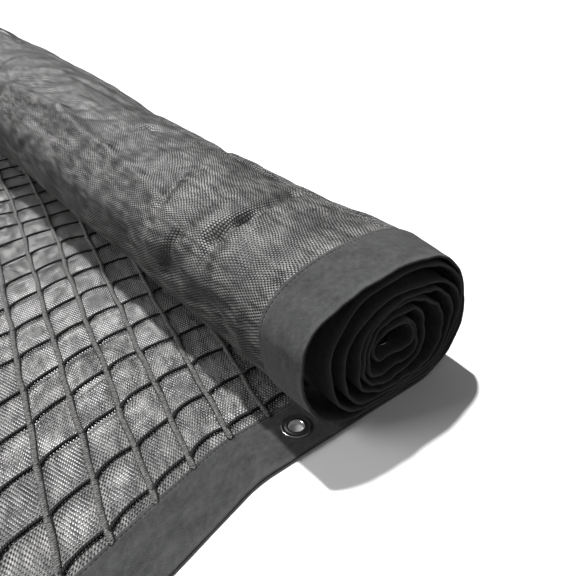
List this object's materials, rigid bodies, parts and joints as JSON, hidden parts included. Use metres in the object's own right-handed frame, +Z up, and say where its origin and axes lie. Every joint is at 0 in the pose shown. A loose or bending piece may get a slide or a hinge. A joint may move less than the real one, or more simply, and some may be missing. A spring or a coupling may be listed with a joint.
{
  "type": "scaffold debris netting",
  "caption": "Rolled length of black debris mesh with a corded net inside, taped edges with eyelets, and its loose end laid out flat.",
  "frame": {"origin": "on the ground under the centre of the whole part's box", "axes": "+Y along the roll, away from its visible spiral end; +X across the roll, away from the loose end; +Z up"},
  "size_m": [0.5504, 1.2784, 0.161],
  "materials": {
    "mesh": "knitted polymer mesh, slightly glossy tapes",
    "cord": "knitted polymer cord",
    "tape": "matt woven binding tape",
    "eyelet": "bright plated metal"
  },
  "bodies": {
    "root": {"rolled_mesh": "mesh", "loose_mesh": "mesh", "loose_net": "cord", "binding_front_rolled": "tape", "binding_back_rolled": "tape", "binding_front_loose": "tape", "binding_back_loose": "tape", "binding_end_loose": "tape", "eyelet_front_roll": "eyelet", "eyelet_front_corner": "eyelet", "eyelet_back_roll": "eyelet", "eyelet_back_corner": "eyelet", "eyelet_end_middle": "eyelet", "eyelet_core": "eyelet"}
  },
  "joints": []
}
